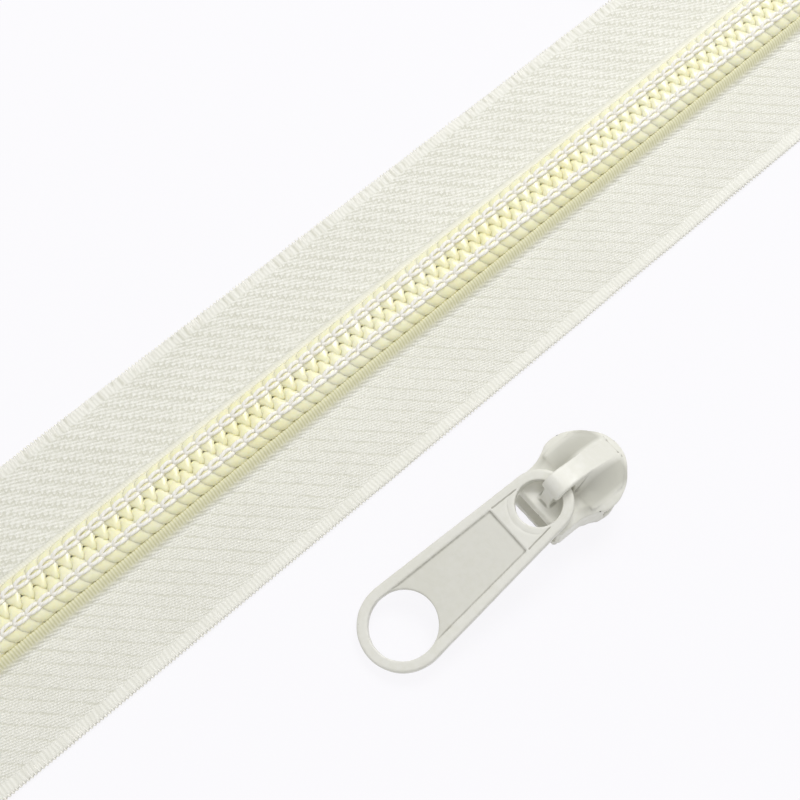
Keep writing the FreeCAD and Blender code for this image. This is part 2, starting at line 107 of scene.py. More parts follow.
class Graph:
    """Places nodes in a tree and joins their sockets."""

    def __init__(self, tree: bpy.types.NodeTree) -> None:
        """Keep the tree that the nodes go into."""
        self.tree = tree

    def add(self, kind: str, **settings: object) -> bpy.types.Node:
        """Place one node.

        Args:
            kind: The node's type name.
            settings: Its properties, by name.

        Returns:
            The new node.
        """
        node = self.tree.nodes.new(kind)
        for name, value in settings.items():
            setattr(node, name, value)
        return node

    def feed(self, target: Socket, source: object) -> None:
        """Fill an input.

        Args:
            target: The input.
            source: A socket to join to it, or its own plain value.
        """
        if isinstance(source, Socket):
            self.tree.links.new(source, target)
        else:
            target.default_value = source

    def made(self, kind: str, inputs: dict[object, object], **settings: object) -> Socket:
        """Place one node and fill its inputs.

        Args:
            kind: The node's type name.
            inputs: A socket or plain value for each input, by its name or number.
            settings: The node's properties, by name.

        Returns:
            Its first output.
        """
        node = self.add(kind, **settings)
        for label, source in inputs.items():
            self.feed(node.inputs[label], source)
        return node.outputs[0]

    def math(self, operation: str, *terms: object) -> Socket:
        """Return the outcome of one sum over sockets or plain numbers."""
        return self.made("ShaderNodeMath", dict(enumerate(terms)), operation=operation)

    def plus(self, first: object, second: object) -> Socket:
        """Return the two values' sum."""
        return self.math("ADD", first, second)

    def minus(self, first: object, second: object) -> Socket:
        """Return the first value less the second."""
        return self.math("SUBTRACT", first, second)

    def times(self, first: object, second: object) -> Socket:
        """Return the two values' product."""
        return self.math("MULTIPLY", first, second)

    def fit(self, value: object, factor: object, extra: object) -> Socket:
        """Return the value times the factor, plus the extra."""
        return self.math("MULTIPLY_ADD", value, factor, extra)

    def wave(self, turns: object) -> Socket:
        """Return a wave from 1 to 0 and back, once for each turn."""
        return self.fit(self.math("COSINE", self.times(turns, math.tau)), 0.5, 0.5)

    def split(self, vector: Socket) -> Outputs:
        """Take a vector apart.

        Args:
            vector: The vector.

        Returns:
            Its X, Y and Z.
        """
        node = self.add("ShaderNodeSeparateXYZ")
        self.feed(node.inputs[0], vector)
        return node.outputs

    def mix(self, share: object, first: object, second: object) -> Socket:
        """Blend two colours.

        Args:
            share: How much of the second one there is, 0 to 1.
            first: Colour where the share is 0.
            second: Colour where the share is 1.

        Returns:
            The blended colour's socket.
        """
        node = self.add("ShaderNodeMix", data_type="RGBA")
        for index, source in ((0, share), (6, first), (7, second)):
            self.feed(node.inputs[index], source)
        return node.outputs[2]

    def ramp(self, value: object, low: float, high: float) -> Socket:
        """Return a smooth rise from 0, where the value is low, to 1, where it is high."""
        inputs = {"Value": value, "From Min": low, "From Max": high}
        return self.made("ShaderNodeMapRange", inputs, interpolation_type="SMOOTHSTEP")

    def noise(self, vector: object, scale: float, detail: float = 2.0) -> Socket:
        """Return a noise between 0 and 1 over the vector; the scale is its waves in a metre."""
        inputs = {"Vector": vector, "Scale": scale, "Detail": detail}
        return self.made("ShaderNodeTexNoise", inputs)


class ShaderGroup:
    """A shared effect: a shader node group with named sockets."""

    def __init__(self, name: str, inputs: dict[str, str], outputs: dict[str, str]) -> None:
        """Make the group's tree and sockets.

        Args:
            name: The group's name.
            inputs: Socket type by name.
            outputs: Socket type by name.
        """
        self.tree = bpy.data.node_groups.new(name, "ShaderNodeTree")
        for way, sockets in (("INPUT", inputs), ("OUTPUT", outputs)):
            for label, kind in sockets.items():
                self.tree.interface.new_socket(name=label, in_out=way, socket_type=kind)
        self.graph = Graph(self.tree)
        self.took = self.graph.add("NodeGroupInput").outputs
        self.sink = self.graph.add("NodeGroupOutput")

    def give(self, label: str, source: Socket) -> None:
        """Feed one of the group's outputs."""
        self.graph.feed(self.sink.inputs[label], source)

    def place(self, graph: Graph, values: dict[str, object]) -> Outputs:
        """Place the group in a material.

        Args:
            graph: The material's graph.
            values: A socket or number for each input.

        Returns:
            The group's outputs.
        """
        node = graph.add("ShaderNodeGroup", node_tree=self.tree)
        for label, value in values.items():
            graph.feed(node.inputs[label], value)
        return node.outputs


class Effects:
    """The effects that several finishes share, each built once. Grains are waves in a metre."""

    ROW_WOBBLE = 800.0
    ROW_BREAKS = 650.0
    YARN_FIBRE = 6500.0
    PLY_FIBRE = 14000.0
    CHIP_SPOTS = 1100.0
    CHIP_PATCHES = 190.0
    GRIME_AND_SHADE_BREAKS = 420.0
    SLOW_MOTTLE = 120.0
    QUICK_MOTTLE = 1500.0

    def __init__(self) -> None:
        """Build every group."""
        self.twill = self._twill()
        self.lay = self._lay()
        self.wear = self._wear()
        self.mottle = self._mottle()

    def _twill(self) -> ShaderGroup:
        """Build the tape's weave: leaning floats, broken along the rows where they dive.

        Returns:
            The group; its Height is the yarns' own, and its other output is painted shade in the
            gaps between yarns and where the floats dive, with the fibres' grain.
        """
        sizes = ("Along", "Across", "Zigzag", "Width", "Floats", "Lean", "Wefts", "Groove", "Line")
        group = ShaderGroup(
            "twill_weave",
            {"Vector": VECTOR, **{label: FLOAT for label in sizes}},
            {"Height": FLOAT, "Shade And Grain": FLOAT},
        )
        g, took = group.graph, group.took
        wobble = g.minus(g.noise(took["Vector"], self.ROW_WOBBLE), 0.5)
        along = g.fit(wobble, 0.35, took["Along"])
        across = g.fit(wobble, 0.30, took["Across"])
        step = g.math("ABSOLUTE", g.minus(g.math("FRACT", g.times(along, 2.0)), 0.5))
        off = g.plus(across, g.times(g.minus(g.times(step, 2.0), 0.5), took["Zigzag"]))
        off = g.math("ABSOLUTE", g.minus(off, g.math("ROUND", off)))
        line = g.minus(1.0, g.math("MINIMUM", g.math("DIVIDE", off, took["Width"]), 1.0))
        uneven = g.fit(g.noise(took["Vector"], self.ROW_BREAKS), 2.2, -0.45)
        line = g.times(line, g.math("MAXIMUM", uneven, 0.15))
        turns = g.minus(g.times(across, took["Floats"]), g.times(along, took["Lean"]))
        ridge = g.wave(turns)
        weft = g.wave(g.times(along, took["Wefts"]))
        fibre = g.noise(took["Vector"], self.YARN_FIBRE)
        height = g.times(ridge, g.fit(weft, 0.40, 0.60))
        height = g.times(height, g.fit(line, -0.9, 1.0))
        group.give("Height", g.fit(fibre, 0.30, height))
        # Painted shade: the grooves between floats, the gaps between wefts and the lines where
        # floats dive; the fibres' grain adds its own tone.
        groove = g.times(g.minus(1.0, ridge), took["Groove"])
        between = g.times(g.minus(1.0, weft), 0.30)
        grain = g.times(g.minus(0.53, fibre), 1.7)
        dark = g.fit(line, took["Line"], g.plus(groove, between))
        group.give("Shade And Grain", g.made("ShaderNodeClamp", {0: g.plus(dark, grain)}))
        return group

    def _lay(self) -> ShaderGroup:
        """Build the twist of a thread or cord, from its own attributes.

        Returns:
            The group; its Groove is 1 between two plies.
        """
        group = ShaderGroup(
            "thread_lay",
            {"Along": FLOAT, "Ply": VECTOR, "Lay": FLOAT, "Vector": VECTOR},
            {"Height": FLOAT, "Groove": FLOAT},
        )
        g, took = group.graph, group.took
        ply = g.split(took["Ply"])
        turn = g.times(g.math("DIVIDE", took["Along"], took["Lay"]), math.tau)
        first = g.times(g.math("SINE", turn), ply["X"])
        second = g.times(g.math("COSINE", turn), ply["Y"])
        swell = g.fit(g.plus(first, second), 0.5, 0.5)
        fibre = g.noise(took["Vector"], self.PLY_FIBRE, 1.0)
        group.give("Height", g.fit(fibre, 0.3, swell))
        group.give("Groove", g.ramp(swell, 0.34, 0.0))
        return group

    def _wear(self) -> ShaderGroup:
        """Build the chips on outer edges, and the dark line in inner corners, which is grime and
        painted shade.

        Returns:
            The group.
        """
        group = ShaderGroup(
            "edge_wear",
            {"Edge": FLOAT, "Crease": FLOAT, "Vector": VECTOR, "Amount": FLOAT},
            {"Chip": FLOAT, "Grime": FLOAT},
        )
        g, took = group.graph, group.took
        spots = g.noise(took["Vector"], self.CHIP_SPOTS, 3.0)
        patch = g.noise(took["Vector"], self.CHIP_PATCHES, 1.0)
        gate = g.minus(g.plus(spots, g.times(patch, 0.5)), took["Amount"])
        group.give("Chip", g.times(g.ramp(gate, 0.0, 0.03), g.ramp(took["Edge"], 0.35, 0.6)))
        # The dark line in creases: grime and painted shade, broken up by noise.
        broken = g.fit(g.noise(took["Vector"], self.GRIME_AND_SHADE_BREAKS), 0.9, 0.4)
        group.give("Grime", g.times(g.ramp(took["Crease"], 0.15, 0.8), broken))
        return group

    def _mottle(self) -> ShaderGroup:
        """Build slow, uneven variation over a surface.

        Returns:
            The group.
        """
        group = ShaderGroup("mottle", {"Vector": VECTOR, "Fine": FLOAT}, {"Value": FLOAT})
        g, took = group.graph, group.took
        slow = g.noise(took["Vector"], self.SLOW_MOTTLE, 3.0)
        quick = g.noise(took["Vector"], self.QUICK_MOTTLE)
        blend = g.plus(slow, g.times(g.minus(quick, 0.5), took["Fine"]))
        group.give("Value", g.ramp(blend, 0.3, 0.7))
        return group


@dataclass(frozen=True)
class Finish:
    """What every finish starts from: a named material with one shader."""

    name: str

    def begin(self) -> tuple[bpy.types.Material, Graph, Inputs, Socket]:
        """Make the material.

        Returns:
            The material, its graph, its Principled shader's inputs and the Object coordinates.
        """
        material = bpy.data.materials.new(self.name)
        material.use_nodes = True
        graph = Graph(material.node_tree)
        place = graph.add("ShaderNodeTexCoord").outputs["Object"]
        return material, graph, material.node_tree.nodes["Principled BSDF"].inputs, place

    @staticmethod
    def read(graph: Graph, name: str, part: str = "Fac") -> Socket:
        """Return one of the mesh's own attributes: its number, or its "Vector"."""
        return graph.add("ShaderNodeAttribute", attribute_name=name).outputs[part]

    @staticmethod
    def bump(graph: Graph, shader: Inputs, height: object, depth: float) -> None:
        """Feed a height into the shader's normal.

        Args:
            graph: The material's graph.
            shader: The shader's inputs.
            height: Height between 0 and 1.
            depth: What a height of 1 stands for, in millimetres.
        """
        inputs = {"Strength": 1.0, "Distance": depth * MM, "Height": height}
        graph.feed(shader["Normal"], graph.made("ShaderNodeBump", inputs))

    @staticmethod
    def settle(shader: Inputs, values: dict[str, object]) -> None:
        """Set what is the same all over the surface, on the shader's own sockets."""
        for label, value in values.items():
            shader[label].default_value = value


@dataclass(frozen=True)
class TapeCloth(Finish):
    """Ivory polyester twill, with ribs at the chain and at the outer edge; in millimetres."""

    side: Side = Side.FAR
    ground: Colour = tint(254, 253, 246)
    # Colour of the painted shade in the weave's pits and the edge's gaps; the mottle leans towards
    # it too.
    hollow: Colour = tint(206, 205, 188)
    # Painted bounce light: the coil's yellow cast on the cloth beside the chain.
    coil_bounce: Colour = tint(243, 240, 204)
    rib_shade: Colour = tint(206, 203, 150)
    repeat: float = 1.9
    line_pitch: float = 0.94
    line_shift: float = -0.95
    rib: float = 164 / 444
    edge_rib: float = 0.475
    selvedge_from: float = 13.3
    selvedge_to: float = 13.6
    seam_to: float = 4.2
    seam_from: float = 3.9
    # Where the painted bounce light from the coil fades out across the cloth.
    bounce_to: float = 4.6
    bounce_from: float = 3.7
    yarn_depth: float = 0.055
    sway_grain: float = 500.0
    slit_grain: float = 420.0
    sway: float = 0.5
    darkest: float = 0.75
    sheen: float = 0.08
    sheen_spread: float = 0.5
    gloss: float = 0.35
    far_weave: tuple[tuple[str, float], ...] = (
        ("Zigzag", 0.40),
        ("Width", 0.22),
        ("Floats", 3.0),
        ("Lean", 1.0),
        ("Wefts", 2.0),
        ("Groove", 0.46),
        ("Line", 0.95),
    )
    near_weave: tuple[tuple[str, float], ...] = (
        ("Zigzag", 0.03),
        ("Width", 0.14),
        ("Floats", 4.0),
        ("Lean", 2.0),
        ("Wefts", 4.0),
        ("Groove", 0.40),
        ("Line", 0.75),
    )

    @property
    def tones(self) -> tuple[float, float, float]:
        """How strong the painted shade in the edge's slits, the painted bounce light from the coil
        by the chain, and the ribs' painted shade are.
        """
        return (0.65, 0.3, 0.072) if self.side is Side.FAR else (0.2, 0.85, 0.6)

    @staticmethod
    def along(g: Graph, place: Outputs, share_x: float, share_y: float) -> Socket:
        """Return the distance in one direction, in rows."""
        from_x = g.times(place["X"], share_x / MM)
        return g.fit(place["Y"], share_y / MM, from_x)

    def weave(self, g: Graph, place: Socket, effects: Effects) -> Outputs:
        """Lay the twill along this side's rows.

        Args:
            g: The material's graph.
            place: The Object coordinates.
            effects: The shared effects.

        Returns:
            The weave's height and pits.
        """
        split = g.split(place)
        turn = math.atan2(-self.line_pitch, -self.line_shift)
        row = self.repeat * math.sin(-turn)
        values = {
            "Vector": place,
            "Along": self.along(g, split, math.cos(turn) / row, math.sin(turn) / row),
            "Across": self.along(g, split, -math.sin(turn) / row, math.cos(turn) / row),
        }
        values.update(self.far_weave if self.side is Side.FAR else self.near_weave)
        return effects.twill.place(g, values)

    def build(self, effects: Effects) -> bpy.types.Material:
        """Make the material.

        Args:
            effects: The shared effects.

        Returns:
            The material.
        """
        material, g, shader, place = self.begin()
        slit_shade, bounce_share, shaded = self.tones
        split = g.split(place)
        away = g.times(split["Y"], self.side.value / MM)
        twill = self.weave(g, place, effects)
        selvedge = g.ramp(away, self.selvedge_from, self.selvedge_to)
        seam = g.ramp(away, self.seam_to, self.seam_from)
        swayed = g.plus(split["X"], g.times(g.noise(place, self.sway_grain), self.sway * MM))
        edge_ribs = g.wave(g.times(swayed, 1 / (self.edge_rib * MM)))
        ribs = g.wave(g.times(split["X"], 1 / (self.rib * MM)))
        ribs = g.plus(g.times(ribs, g.minus(1.0, selvedge)), g.times(edge_ribs, selvedge))
        plain = g.math("MAXIMUM", selvedge, seam)
        woven = g.minus(1.0, plain)
        yarns = g.times(twill["Height"], woven)
        self.bump(g, shader, g.plus(yarns, g.times(ribs, g.times(plain, 0.5))), self.yarn_depth)
        # Painted shade in the gaps between the edge's turns and between its ribs.
        between = g.minus(1.0, ribs)
        slit = g.math("COSINE", g.times(swayed, math.tau / (2 * self.edge_rib * MM)))
        broken = g.ramp(g.noise(place, self.slit_grain), 0.42, 0.6)
        slit = g.times(g.ramp(slit, 0.3, 0.95), broken)
        gaps = g.times(g.fit(slit, slit_shade, g.fit(between, 0.26, 0.20)), selvedge)
        mottle = effects.mottle.place(g, {"Vector": place, "Fine": 0.6})
        # Painted shade in the weave's pits and the edge's gaps, with the mottle's tone.
        dark = g.plus(g.times(twill["Shade And Grain"], woven), gaps)
        dark = g.math("MINIMUM", g.plus(dark, g.times(mottle["Value"], 0.10)), 1.0)
        # Painted bounce light from the coil on the cloth beside the chain.
        bounce = g.ramp(away, self.bounce_to, self.bounce_from)
        colour = g.mix(g.times(dark, self.darkest), self.ground, self.hollow)
        colour = g.mix(g.times(bounce, bounce_share), colour, self.coil_bounce)
        colour = g.mix(g.times(g.times(between, seam), shaded), colour, self.rib_shade)
        g.feed(shader["Base Color"], colour)
        g.feed(shader["Roughness"], g.fit(twill["Height"], -0.16, 0.74))
        sheen = {"Sheen Weight": self.sheen, "Sheen Roughness": self.sheen_spread}
        self.settle(shader, {**sheen, "Specular IOR Level": self.gloss})
        return material


@dataclass(frozen=True)
class CoilNylon(Finish):
    """Cream monofilament, half glossy and a little translucent."""

    colour: Colour = tint(253, 249, 214)
    deep: Colour = tint(249, 243, 197)
    draw_marks: float = 2600.0
    mark_depth: float = 0.006
    inside: float = 0.4
    inside_reach: float = 0.5
    inside_tint: Point = (1.0, 0.9, 0.6)
    coat: float = 0.4
    coat_roughness: float = 0.08

    def build(self, effects: Effects) -> bpy.types.Material:
        """Make the material.

        Args:
            effects: The shared effects.

        Returns:
            The material.
        """
        material, g, shader, place = self.begin()
        mottle = effects.mottle.place(g, {"Vector": place, "Fine": 0.5})["Value"]
        g.feed(shader["Base Color"], g.mix(mottle, self.colour, self.deep))
        g.feed(shader["Roughness"], g.fit(mottle, 0.08, 0.2))
        self.bump(g, shader, g.noise(place, self.draw_marks), self.mark_depth)
        inside = {"Subsurface Weight": self.inside, "Subsurface Radius": self.inside_tint}
        coat = {"Coat Weight": self.coat, "Coat Roughness": self.coat_roughness}
        reach = {"Subsurface Scale": self.inside_reach * MM}
        self.settle(shader, {**inside, **reach, **coat})
        return material


@dataclass(frozen=True)
class Thread(Finish):
    """Twisted thread or cord; its turns follow its length."""

    colour: Colour = tint(255, 253, 246)
    # Painted shade in the grooves between the plies.
    groove: Colour = tint(240, 236, 220)
    lay: float = 0.62
    depth: float = 0.014
    sheen: float = 0.15
    sheen_spread: float = 0.4
    gloss: float = 0.4

    def build(self, effects: Effects) -> bpy.types.Material:
        """Make the material.

        Args:
            effects: The shared effects.

        Returns:
            The material.
        """
        material, g, shader, place = self.begin()
        turns = {"Along": self.read(g, "along"), "Ply": self.read(g, "ply", "Vector")}
        lay = effects.lay.place(g, {**turns, "Lay": self.lay * MM, "Vector": place})
        # Painted shade in the grooves between plies.
        g.feed(shader["Base Color"], g.mix(lay["Groove"], self.colour, self.groove))
        g.feed(shader["Roughness"], g.fit(lay["Groove"], 0.2, 0.58))
        self.bump(g, shader, lay["Height"], self.depth)
        sheen = {"Sheen Weight": self.sheen, "Sheen Roughness": self.sheen_spread}
        self.settle(shader, {**sheen, "Specular IOR Level": self.gloss})
        return material


@dataclass(frozen=True)
class Enamel(Finish):
    """Satin off-white enamel over a zinc casting, chipped at the edges."""

    colour: Colour = tint(234, 233, 225)
    thin: Colour = tint(230, 229, 219)
    # Painted shade on the slider's flanks beside the ridge and in the pull's sunken panel.
    painted_shade_colour: Colour = tint(196, 195, 184)
    # Grime and painted shade in inner corners and creases.
    grime: Colour = tint(120, 116, 100)
    metal: Colour = tint(92, 90, 84)
    chip_level: float = 0.97
    chip_depth: float = 2.5
    orange_peel: float = 1700.0
    peel_depth: float = 0.014
    coat: float = 0.2
    coat_roughness: float = 0.22

    def build(self, effects: Effects) -> bpy.types.Material:
        """Make the material.

        Args:
            effects: The shared effects.

        Returns:
            The material.
        """
        material, g, shader, place = self.begin()
        mottle = effects.mottle.place(g, {"Vector": place, "Fine": 0.9})["Value"]
        bends = {"Edge": self.read(g, "edge"), "Crease": self.read(g, "crease")}
        wear = effects.wear.place(g, {**bends, "Vector": place, "Amount": self.chip_level})
        # Painted shade: the coat darkens on the slider's flanks and in the pull's sunken panel.
        hollow = self.read(g, "hollow")
        coat = g.mix(mottle, self.colour, self.thin)
        coat = g.mix(hollow, coat, self.painted_shade_colour)
        # Grime and painted shade in the creases, weaker where the flanks' painted shade lies.
        coat = g.mix(g.times(wear["Grime"], g.fit(hollow, -0.7, 0.75)), coat, self.grime)
        g.feed(shader["Base Color"], g.mix(wear["Chip"], coat, self.metal))
        g.feed(shader["Roughness"], g.fit(wear["Grime"], 0.3, g.fit(mottle, 0.1, 0.36)))
        peel = g.noise(place, self.orange_peel)
        height = g.minus(peel, g.times(wear["Chip"], self.chip_depth))
        self.bump(g, shader, height, self.peel_depth)
        self.settle(shader, {"Coat Weight": self.coat, "Coat Roughness": self.coat_roughness})
        return material


class Wardrobe:
    """Builds each finish once and hands it out."""

    def __init__(self, effects: Effects) -> None:
        """Build the finishes.

        Args:
            effects: The effects that they share.
        """
        # The cord's colour and the painted shade between its plies.
        cord, groove = tint(246, 242, 220), tint(230, 224, 190)
        self.cloth = {s: TapeCloth(f"tape_cloth_{s.word}", s).build(effects) for s in Side}
        self.nylon = CoilNylon("coil_nylon").build(effects)
        self.stitch = Thread("sewing_thread").build(effects)
        self.lock = Thread("lock_thread", lay=0.7, depth=0.03).build(effects)
        self.cord = Thread("core_cord", cord, groove, lay=1.4, depth=0.03).build(effects)
        self.enamel = Enamel("slider_enamel").build(effects)


class PathTree:
    """A Geometry Nodes tree: one template path, repeated along X and given a round section."""

    DRIFT_GRAIN = 420.0
    WELD = 2e-6
    LEG = (0.32 * MM, 0.80 * MM)
    BEND = (1.65 * MM, 2.2 * MM)

    def __init__(self, name: str, sides: int, plies: int = 0, weld: bool = False) -> None:
        """Build the tree.

        Args:
            name: The tree's name.
            sides: Corners of the section.
            plies: How many strands show round the section; 0 for one bare filament.
            weld: True where the repeats join into one path.
        """
        self.tree = bpy.data.node_groups.new(name, "GeometryNodeTree")
        self.sockets: dict[str, str] = {}
        geometry = "NodeSocketGeometry"
        for label, kind, start in (
            ("Geometry", geometry, None),
            ("Count", "NodeSocketInt", 1),
            ("Pitch", FLOAT, 0.001),
            ("Radius", FLOAT, 0.0003),
            ("Drift", FLOAT, 0.0),
            ("Widen", FLOAT, 1.0),
            ("Centre", FLOAT, 0.0),
            ("Head Spread", FLOAT, 0.0),
            ("Leg Spread", FLOAT, 0.0),
            ("Bend Spread", FLOAT, 0.0),
            ("Seed", "NodeSocketInt", 3),
            ("Finish", "NodeSocketMaterial", None),
        ):
            item = self.tree.interface.new_socket(name=label, in_out="INPUT", socket_type=kind)
            if start is not None:
                item.default_value = start
            self.sockets[label] = item.identifier
        self.tree.interface.new_socket(name="Geometry", in_out="OUTPUT", socket_type=geometry)
        self.graph = g = Graph(self.tree)
        self.took = g.add("NodeGroupInput").outputs
        place = g.made("GeometryNodeInputPosition", {})
        tube = self._tube(self._path(place, weld), sides, plies)
        flat = g.made("GeometryNodeSetPosition", {0: tube, "Offset": self._spread(g.split(place))})
        smooth = g.made("GeometryNodeSetShadeSmooth", {0: flat})
        real = g.made("GeometryNodeRealizeInstances", {0: smooth})
        dress = g.made("GeometryNodeSetMaterial", {0: real, "Material": self.took["Finish"]})
        g.feed(g.add("NodeGroupOutput").inputs[0], dress)

    def _path(self, place: Socket, weld: bool) -> Socket:
        """Repeat the template along X and let it drift a little.

        Args:
            place: The position.
            weld: True where the repeats join into one path.

        Returns:
            The curve, with its own line kept on its points.
        """
        g, took = self.graph, self.took
        step = g.made("ShaderNodeCombineXYZ", {0: took["Pitch"]})
        row = {"Count": took["Count"], "Offset": step}
        row = {"Points": g.made("GeometryNodeMeshLine", row, mode="OFFSET")}
        copies = g.made("GeometryNodeInstanceOnPoints", {**row, "Instance": took["Geometry"]})
        joined = g.made("GeometryNodeRealizeInstances", {0: copies})
        if weld:
            joined = g.made("GeometryNodeMergeByDistance", {0: joined, "Distance": self.WELD})
        curve = g.made("GeometryNodeMeshToCurve", {0: joined})
        shake = g.add("ShaderNodeTexNoise", noise_dimensions="4D")
        for label, value in (("Vector", place), ("W", took["Seed"]), ("Scale", self.DRIFT_GRAIN)):
            g.feed(shake.inputs[label], value)
        centred = {0: shake.outputs["Color"], 1: (0.5, 0.5, 0.5)}
        centred = g.made("ShaderNodeVectorMath", centred, operation="SUBTRACT")
        drift = {0: centred, "Scale": took["Drift"]}
        drift = g.made("ShaderNodeVectorMath", drift, operation="SCALE")
        moved = g.made("GeometryNodeSetPosition", {0: curve, "Offset": drift})
        whole = g.made("GeometryNodeSetCurveRadius", {0: moved, "Radius": 1.0})
        return self._store(whole, "line", place, "FLOAT_VECTOR")

    def _tube(self, path: Socket, sides: int, plies: int) -> Socket:
        """Give the path its section.

        Args:
            path: The curve.
            sides: Corners of the section.
            plies: Strands round it; with any, the finish gets its length and plies.

        Returns:
            The tube.
        """
        g = self.graph
        ring = {"Resolution": sides, "Radius": self.took["Radius"]}
        section = g.made("GeometryNodeCurvePrimitiveCircle", ring)
        if plies:
            length = g.add("GeometryNodeSplineParameter").outputs["Length"]
            path = self._store(path, "along", length)
            turn = g.add("GeometryNodeSplineParameter").outputs["Factor"]
            angle = g.times(turn, math.tau * plies)
            both = {0: g.math("COSINE", angle), 1: g.math("SINE", angle)}
            both = g.made("ShaderNodeCombineXYZ", both)
            section = self._store(section, "ply", both, "FLOAT_VECTOR")
        inputs = {"Curve": path, "Profile Curve": section, "Fill Caps": True}
        return g.made("GeometryNodeCurveToMesh", inputs)

    def _spread(self, place: Outputs) -> Socket:
        """Widen a cord across, and a coil's heads, legs and bends along X.

        Args:
            place: The position's X, Y and Z.

        Returns:
            How far each point moves.
        """
        g, took = self.graph, self.took
        kept = g.made("GeometryNodeInputNamedAttribute", {"Name": "line"}, data_type="FLOAT_VECTOR")
        line = g.split(kept)
        away = g.math("ABSOLUTE", line["Y"])
        on_leg = g.times(g.ramp(away, *self.LEG), took["Leg Spread"])
        on_bend = g.times(g.ramp(away, *self.BEND), took["Bend Spread"])
        share = g.plus(took["Head Spread"], g.plus(on_leg, on_bend))
        sideways = g.times(g.minus(place["X"], line["X"]), share)
        off_line = g.minus(place["Y"], took["Centre"])
        across = g.times(off_line, g.minus(took["Widen"], 1.0))
        return g.made("ShaderNodeCombineXYZ", {0: sideways, 1: across})

    def _store(self, geometry: Socket, name: str, value: Socket, kind: str = "FLOAT") -> Socket:
        """Keep a value on a geometry's points.

        Args:
            geometry: What has the points.
            name: The name to keep it under.
            value: The value.
            kind: Its type name.

        Returns:
            The geometry.
        """
        inputs = {"Geometry": geometry, "Name": name, "Value": value}
        node = "GeometryNodeStoreNamedAttribute"
        return self.graph.made(node, inputs, data_type=kind, domain="POINT")

    def run(
        self, name: str, template: list[Point], finish: bpy.types.Material, **sizes: float
    ) -> bpy.types.Object:
        """Make a plain mesh from a template path.

        Args:
            name: The new piece's name.
            template: The path's points, in millimetres.
            finish: Its material.
            sizes: The tree's other inputs; the words of a name are joined by _.

        Returns:
            The piece, with its place in its mesh and no modifier left.
        """
        mesh = bpy.data.meshes.new(f"{name}_path")
        places = [tuple(part * MM for part in point) for point in template]
        mesh.from_pydata(places, [(i, i + 1) for i in range(len(places) - 1)], [])
        piece = show(name, mesh)
        modifier = piece.modifiers.new("repeat", "NODES")
        modifier.node_group = self.tree
        modifier[self.sockets["Finish"]] = finish
        for label, value in sizes.items():
            modifier[self.sockets[label.replace("_", " ").title()]] = value
        baked(piece)
        piece.data.attributes.remove(piece.data.attributes["line"])
        return piece


def baked(piece: bpy.types.Object) -> None:
    """Turn a piece with modifiers into a plain mesh.

    Args:
        piece: The piece; its object stays, with a new mesh and no modifier.
    """
    bpy.context.view_layer.update()
    graph = bpy.context.evaluated_depsgraph_get()
    mesh = bpy.data.meshes.new_from_object(
        piece.evaluated_get(graph), depsgraph=graph, preserve_all_data_layers=True
    )
    piece.modifiers.clear()
    mesh.name = piece.name
    piece.data = mesh


def smoothed(path: list[Point], steps: int) -> list[Point]:
    """Round a path through its points.

    Args:
        path: What it goes through.
        steps: Parts that each run is divided into.

    Returns:
        The denser path.
    """
    denser = []
    last = len(path) - 1
    for i in range(last):
        before, start, end, after = (
            Vector(path[max(0, min(last, j))]) for j in (i - 1, i, i + 1, i + 2)
        )
        for step in range(steps):
            t = step / steps
            place = (
                start * 2
                + (end - before) * t
                + (before * 2 - start * 5 + end * 4 - after) * t**2
                + (start * 3 - before - end * 3 + after) * t**3
            ) * 0.5
            denser.append(tuple(place))
    return [*denser, tuple(path[-1])]


def eased(share: np.ndarray) -> np.ndarray:
    """Rise smoothly from 0 to 1 as the share does."""
    held = np.clip(share, 0, 1)
    return held * held * (3 - 2 * held)


@dataclass
class ChainSizes:
    """Sizes that the chain's pieces share, in millimetres."""

    loops: int = 100
    pitch: float = 1.64
    side_shift: float = 0.41
    wire: float = 0.70
    low: float = 1.19
    high: float = 2.54
    leg_inner: float = 0.325
    leg_outer: float = 1.738
    stitch_line: float = 1.588
    half_width: float = 15.0

    def first(self, side: Side) -> float:
        """Return the X of a coil's first loop."""
        return -(self.loops - 1) / 2 * self.pitch + side.value * self.side_shift

    @property
    def length(self) -> float:
        """The chain's length."""
        return self.loops * self.pitch


